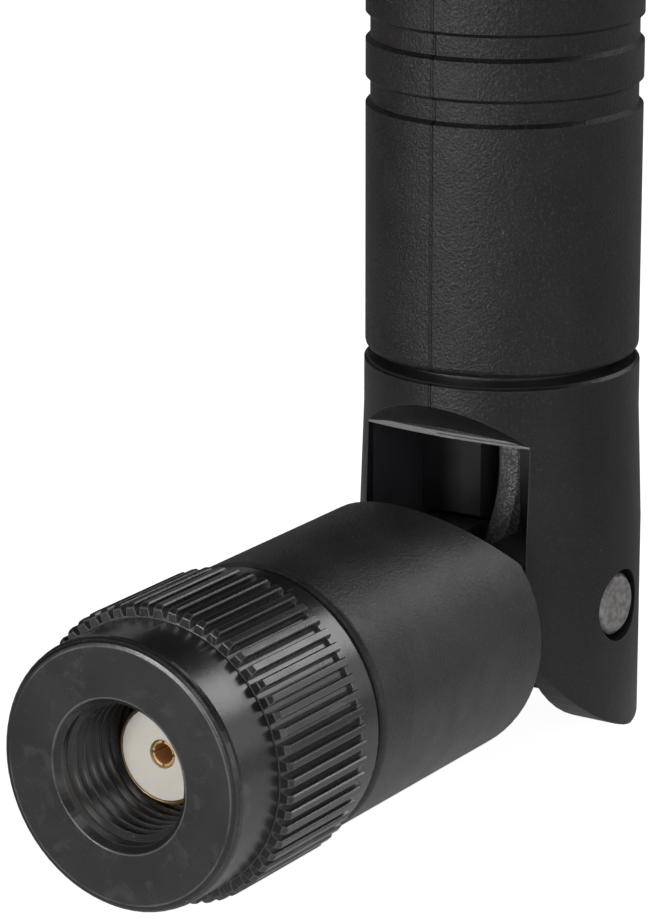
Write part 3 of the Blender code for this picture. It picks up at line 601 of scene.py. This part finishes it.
def black_plastic(n, tone, warm, grain, rough, sparkle, edge_lift, glint_lift):
    """Moulded black plastic: a fine grain, soft mottling, light specks as painted glints,
    lighter edges and corners, and a little dust.
    """
    low = times(tone, 1 - PLASTIC_MOTTLE)
    high = tuple(c * (1 + PLASTIC_MOTTLE) + w for c, w in zip(tone, warm))
    colour = n.mix(n.step(n.noise(*PLASTIC_CLOUD), *PLASTIC_CLOUD_STEP), low, high)
    # painted glints: light specks in the colour
    glint_specks = n.step(n.noise(*PLASTIC_GLINT_SPECKS), *PLASTIC_GLINT_STEP)
    colour = n.coat(colour, glint_specks, sparkle, times(tone, glint_lift))
    dust = n.step(n.noise(*PLASTIC_DUST), *PLASTIC_DUST_STEP)
    colour = n.coat(colour, dust, *PLASTIC_DUST_COAT)
    edge_mask = n.edge_share(*PLASTIC_EDGE_STEP)
    colour = n.coat(colour, edge_mask, edge_lift, times(tone, PLASTIC_EDGE_LIFT))
    pits = n.math("MULTIPLY", n.voronoi(grain * PLASTIC_PIT_SCALE), PLASTIC_PIT_SHARE)
    height = n.math("ADD", n.noise(grain, *PLASTIC_GRAIN), pits)
    low, high = rough - PLASTIC_GLOSS_BELOW, rough + PLASTIC_GLOSS_ABOVE
    return colour, height, n.spread(n.noise(*PLASTIC_GLOSS), low, high)


def mast_plastic():
    """The mast's cover: a rougher grain, with the parting line over its whole height."""
    n = Nodes("mast_plastic")
    colour, height, rough = black_plastic(
        n, MAST_TONE, MAST_WARM, grain=11000.0, rough=0.37, sparkle=0.8, edge_lift=0.5, glint_lift=5.0
    )
    colour, height = seamed(n, MAST_TONE, colour, height, MAST_GRAIN_DEPTH, SEAM_NO_TOP)
    normal = n.bump(height, MAST_GRAIN_DEPTH, MAST_AXIS)
    return n.finish(Base_Color=colour, Roughness=rough, Normal=normal)


def fork_plastic():
    """The fork: smooth walls with painted shade in the pocket, painted light on its side walls,
    a painted highlight on the lip over it, and painted light on its top face.
    """
    n = Nodes("fork_plastic")
    colour, height, rough = black_plastic(
        n, FORK_TONE, FORK_WARM, grain=9500.0, rough=0.35, sparkle=0.6, edge_lift=0.7, glint_lift=3.2
    )
    inside = pocket_share(n)
    # painted shade in the pocket
    colour = n.coat(colour, inside, *FORK_POCKET_SHADE_COAT)
    # painted light on the pocket's side walls and on faces looking up or down
    colour = n.coat(colour, n.all_of(inside, side_share(n)), *FORK_WALL_LIGHT_COAT)
    grainy = n.rest_of(n.math("MULTIPLY", inside, POCKET_SMOOTHING))
    height = n.math("MULTIPLY", height, grainy)
    # a painted highlight on the lip, split by a thin unlit line
    colour = n.coat(colour, lip_highlight_share(n), *FORK_LIP_HIGHLIGHT_COAT)
    # painted light on the fork's top face, in the gap under the mast
    top = n.math("GREATER_THAN", n.parts()[2], FORK_TOP_EDGE)
    colour = n.coat(colour, top, *FORK_TOP_LIGHT_COAT)
    colour, height = seamed(n, FORK_TONE, colour, height, FORK_GRAIN_DEPTH, FORK_TOP_EDGE)
    normal = n.bump(height, FORK_GRAIN_DEPTH, MAST_AXIS)
    return n.finish(Base_Color=colour, Roughness=rough, Normal=normal)


def barrel_plastic():
    """The arm's barrel: lighter, and without a parting line."""
    n = Nodes("barrel_plastic")
    colour, height, rough = black_plastic(
        n, BARREL_TONE, BARREL_WARM, grain=9500.0, rough=0.37, sparkle=0.5, edge_lift=0.5, glint_lift=2.6
    )
    normal = n.bump(height, BARREL_GRAIN_DEPTH, ARM_AXIS)
    return n.finish(Base_Color=colour, Roughness=rough, Normal=normal)


def nut_metal(name, lift=1.0):
    """The nut's black finish: smooth, with faint smears, lighter edges and corners, hairline
    scratches and dust, painted light in the knurl's grooves, painted highlights on the face's
    edge and the bore's mouth, and painted shade beside the edge; a lift above 1 gives a lighter
    copy as painted light.
    """
    n = Nodes(name)
    cloud = n.step(n.noise(*NUT_CLOUD), *NUT_CLOUD_STEP)
    colour = n.mix(cloud, times(NUT_DARK, lift), times(NUT_LIGHT, lift))
    stain = n.step(n.noise(*NUT_STAIN), *NUT_STAIN_STEP)
    colour = n.coat(colour, stain, *NUT_STAIN_COAT)
    # painted light in the knurl's grooves
    colour = n.coat(colour, ring_share(n, *NUT_GROOVE_RING), *NUT_GROOVE_LIGHT_COAT)
    drawn = n.scaled(NUT_SCRATCH_STRETCH, NUT_SCRATCH_TURN)
    scratch = n.step(n.noise(*NUT_SCRATCH, source=drawn), *NUT_SCRATCH_STEP)
    colour = n.coat(colour, scratch, *NUT_SCRATCH_COAT)
    dust = n.step(n.noise(*NUT_DUST), *NUT_DUST_STEP)
    colour = n.coat(colour, dust, *NUT_DUST_COAT)
    colour = n.coat(colour, n.edge_share(*NUT_CORNER_STEP), *NUT_CORNER_COAT)
    # painted highlights in patches on the face's outer edge and the bore's mouth, and painted
    # shade in a ring beside the edge
    patchy = n.limits(n.noise(*NUT_PATCHES), *NUT_PATCH_STEP)
    edge = n.all_of(ring_share(n, *NUT_EDGE_RING), patchy)
    colour = n.coat(colour, edge, *NUT_EDGE_HIGHLIGHT_COAT)
    colour = n.coat(colour, ring_share(n, *NUT_SHADE_RING), *NUT_SHADE_COAT)
    mouth = n.all_of(ring_share(n, *NUT_MOUTH_RING), patchy)
    colour = n.coat(colour, mouth, *NUT_MOUTH_HIGHLIGHT_COAT)
    streaks = n.noise(*NUT_STREAKS, source=n.scaled(NUT_STREAK_STRETCH))
    streaks = n.math("MULTIPLY", streaks, NUT_STREAK_SHARE)
    fine = n.math("MULTIPLY", n.noise(*NUT_FINE), NUT_FINE_SHARE)
    return n.finish(
        Base_Color=colour,
        Roughness=n.spread(n.noise(*NUT_GLOSS), *NUT_ROUGHNESS),
        Specular_IOR_Level=NUT_SPECULAR,
        Normal=n.bump(n.math("ADD", streaks, fine), NUT_GRAIN_DEPTH, ARM_AXIS),
    )


def grey_steel():
    """Plain steel, slightly rough, with dark clouds."""
    n = Nodes("pin_steel")
    cloud = n.step(n.noise(*STEEL_CLOUD), *STEEL_CLOUD_STEP)
    return n.finish(
        Base_Color=n.mix(cloud, STEEL_DARK, STEEL_LIGHT),
        Metallic=STEEL_METALLIC,
        Roughness=n.spread(n.noise(*STEEL_GLOSS), *STEEL_ROUGHNESS),
        Normal=n.bump(n.noise(*STEEL_PITS), STEEL_PIT_DEPTH, PIN_AXIS),
    )


def gold_metal(name, tone, rough, metallic=1.0):
    """Gold or brass: slight tarnish in clouds and fine drawn marks."""
    n = Nodes(name)
    cloud = n.noise(*GOLD_CLOUD)
    marks = n.noise(*GOLD_MARKS, source=n.scaled(GOLD_MARK_STRETCH))
    return n.finish(
        Base_Color=n.mix(n.step(cloud, *GOLD_CLOUD_STEP), times(tone, GOLD_TARNISH), tone),
        Metallic=metallic,
        Roughness=n.spread(cloud, rough - GOLD_GLOSS_BELOW, rough + GOLD_GLOSS_ABOVE),
        Normal=n.bump(marks, GOLD_MARK_DEPTH, ARM_AXIS),
    )


def white_insulator():
    """Waxy fluoropolymer, softly clouded and a little uneven."""
    n = Nodes("insulator_white")
    cloud = n.noise(*WHITE_CLOUD)
    return n.finish(
        Base_Color=n.mix(cloud, WHITE_DARK, WHITE_LIGHT),
        Roughness=n.spread(cloud, *WHITE_ROUGHNESS),
        Subsurface_Weight=WHITE_SUBSURFACE,
        Subsurface_Scale=WHITE_SUBSURFACE_SCALE,
        Normal=n.bump(n.noise(*WHITE_WAVES), WHITE_WAVE_DEPTH, ARM_AXIS),
    )


def nylon():
    """Natural nylon, softly clouded."""
    n = Nodes("spacer_nylon")
    cloud = n.noise(*NYLON_CLOUD)
    return n.finish(
        Base_Color=n.mix(cloud, NYLON_DARK, NYLON_LIGHT),
        Roughness=n.spread(cloud, *NYLON_ROUGHNESS),
        Normal=n.bump(cloud, NYLON_DEPTH),
    )


def cable_jacket():
    """A smooth jacket with a slight pebbled grain, in grey clouds that are a painted sheen on
    black.
    """
    n = Nodes("cable_jacket")
    cloud = n.noise(*JACKET_CLOUD)
    cells = n.voronoi(JACKET_CELLS)
    # grey clouds: a painted sheen on the black jacket
    colour = n.mix(cloud, JACKET_DARK, JACKET_LIGHT)
    pebbles = n.step(cells, *JACKET_CELL_STEP, JACKET_CELL_SHARE)
    return n.finish(
        Base_Color=n.mix(pebbles, colour, JACKET_CELL_TONE),
        Roughness=n.spread(cloud, *JACKET_ROUGHNESS),
        Normal=n.bump(cells, JACKET_DEPTH),
    )


def paint_nodes():
    """Give every CAD node its material."""
    gold = gold_metal("gold_plating", PLATING_TONE, PLATING_ROUGHNESS)
    brass = gold_metal("drawn_brass", BRASS_TONE, BRASS_ROUGHNESS)
    contact = gold_metal("contact_gold", CONTACT_TONE, CONTACT_ROUGHNESS, CONTACT_METALLIC)
    steel = grey_steel()
    white = white_insulator()
    clear = nylon()
    jacket = cable_jacket()
    finishes = {
        "coupling_nut": nut_metal("nut_finish"),
        "retaining_ring": steel,
        "connector_body": gold,
        "dielectric": white,
        "center_contact": contact,
        "crimp_ferrule": brass,
        "swivel_arm": barrel_plastic(),
        "hinge_fork": fork_plastic(),
        "hinge_pin_right": steel,
        "hinge_pin_left": steel,
        "radome": mast_plastic(),
        "lower_spacer": clear,
        "radiator_sleeve": brass,
        "feed_insulator": white,
        "shrink_tube": jacket,
        "upper_radiator": brass,
        "top_spacer": clear,
        "coax_cable": jacket,
    }
    for name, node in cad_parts.items():
        if node.data.materials:
            node.data.materials[0] = finishes[name]
        else:
            node.data.materials.append(finishes[name])


def mesh_object(name, verts, faces, material, body):
    """A smooth piece of its own mesh that rides on a body."""
    mesh = bpy.data.meshes.new(name)
    mesh.from_pydata(verts, [], faces)
    shape = bmesh.new()
    shape.from_mesh(mesh)
    bmesh.ops.recalc_face_normals(shape, faces=shape.faces)
    shape.to_mesh(mesh)
    shape.free()
    item = link(bpy.data.objects.new(name, mesh))
    mesh.materials.append(material)
    mesh.shade_smooth()
    mesh.set_sharp_from_angle(angle=SHARP_ANGLE)
    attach(item, body)
    return item


def thread_profile(wall, crest):
    """The ridge's outline: radii, and places along it from the middle of the ridge."""
    half = THREAD_PITCH / 2
    radii = (wall, wall - THREAD_FOOT, crest + THREAD_SHOULDER, crest)
    front = [(radius, -half * share) for radius, share in zip(radii, THREAD_SHARES)]
    return front + [(radius, -along) for radius, along in reversed(front)]


def nut_thread(material):
    """The nut's inside thread: a helical ridge with a rounded crest on the bore's wall."""
    turns = (THREAD_END - THREAD_START) / THREAD_PITCH
    count = int(turns * THREAD_STEPS)
    wall = THREAD_MAJOR + THREAD_SINK
    profile = thread_profile(wall, THREAD_MINOR)
    run_out = THREAD_STEPS * THREAD_RUN_OUT
    verts = []
    for step in range(count + 1):
        angle = THREAD_TURN + 2 * math.pi * step / THREAD_STEPS
        middle = THREAD_START + THREAD_PITCH * step / THREAD_STEPS
        lead = min(1.0, step / run_out, (count - step) / run_out)
        for radius, along in profile:
            deep = wall - (wall - radius) * lead
            verts.append((deep * math.cos(angle), middle + along, deep * math.sin(angle)))
    size = len(profile)
    faces = []
    for step in range(count):
        for k in range(size):
            a = step * size + k
            b = step * size + (k + 1) % size
            faces.append((a, b, b + size, a + size))
    faces.append(tuple(range(size)))
    faces.append(tuple(count * size + k for k in range(size)))
    return mesh_object("nut_thread", verts, faces, material, "nut")


def replace_cable():
    """A copy of the cable's mesh, with its place baked in, stands in for the CAD cable, which is
    hidden.
    """
    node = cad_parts["coax_cable"]
    item = link(bpy.data.objects.new("bent_cable", node.data.copy()))
    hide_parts("coax_cable")
    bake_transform(item)
    return item


def floor_paper():
    """White paper: evenly bright for the camera, and softly lit near the plug for other rays."""
    n = Nodes("floor_paper")
    n.finish(Base_Color=(FLOOR_TONE, FLOOR_TONE, FLOOR_TONE, 1.0), Roughness=FLOOR_ROUGHNESS)
    away = n.vector("DISTANCE", n.place(), BOUNCE_CENTRE, output="Value")
    near = n.rest_of(n.limits(away, BOUNCE_NEAR, BOUNCE_FAR))
    bounce = n.math("MULTIPLY", near, FLOOR_BOUNCE)
    seen = n.new("ShaderNodeMixShader")
    n.put(seen.inputs["Fac"], n.new("ShaderNodeLightPath").outputs["Is Camera Ray"])
    for place, strength in ((1, bounce), (2, FLOOR_GLOW)):
        glow = n.new("ShaderNodeEmission")
        n.put(glow.inputs["Strength"], strength)
        both = n.new("ShaderNodeAddShader")
        n.put(both.inputs[0], n.shader.outputs["BSDF"])
        n.put(both.inputs[1], glow.outputs["Emission"])
        n.put(seen.inputs[place], both.outputs["Shader"])
    n.put(n.tree.nodes["Material Output"].inputs["Surface"], seen.outputs["Shader"])
    return n.material


def add_stage():
    """A pale floor just under the plug."""
    level = CAD_BOX[0].z - FLOOR_GAP
    corners = ((-1, -1), (1, -1), (1, 1), (-1, 1))
    verts = [(FLOOR_HALF * x, FLOOR_HALF * y, level) for x, y in corners]
    mesh = bpy.data.meshes.new("floor")
    mesh.from_pydata(verts, [], [(0, 1, 2, 3)])
    floor = link(bpy.data.objects.new("floor", mesh))
    mesh.materials.append(floor_paper())


def add_light(name, place, size, power):
    """A rectangular panel that looks at the part."""
    data = bpy.data.lights.new(name, "AREA")
    data.shape = "RECTANGLE"
    data.size, data.size_y = size
    data.energy = power
    light = link(bpy.data.objects.new(name, data))
    look = (Vector(LIGHT_TARGET) - place).to_track_quat("-Z", "Y")
    light.matrix_world = Matrix.Translation(place) @ look.to_matrix().to_4x4()


def add_lights():
    """Soft panels around the part, and a world that is white for the camera only."""
    for name, azimuth, elevation, size, power in LIGHTS:
        away = LIGHT_DISTANCE * direction(azimuth, elevation)
        add_light(name, Vector(LIGHT_TARGET) + away, size, power)
    world = bpy.data.worlds.new("world")
    world.use_nodes = True
    tree = world.node_tree
    mix = tree.nodes.new("ShaderNodeMixShader")
    path = tree.nodes.new("ShaderNodeLightPath")
    tree.links.new(path.outputs["Is Camera Ray"], mix.inputs[0])
    lit, seen = tree.nodes["Background"], tree.nodes.new("ShaderNodeBackground")
    for place, node, strength in ((1, lit, WORLD_LIGHT), (2, seen, WORLD_SEEN)):
        node.inputs["Color"].default_value = WHITE
        node.inputs["Strength"].default_value = strength
        tree.links.new(node.outputs[0], mix.inputs[place])
    tree.links.new(mix.outputs[0], tree.nodes["World Output"].inputs["Surface"])
    bpy.context.scene.world = world
    bpy.context.scene.view_settings.view_transform = "Standard"


add_camera()
paint_nodes()
# The thread: a lighter copy of the nut's finish, as painted light inside the bore
nut_thread(nut_metal("thread_painted_light", THREAD_PAINTED_LIGHT))
replace_cable()
add_stage()
add_lights()
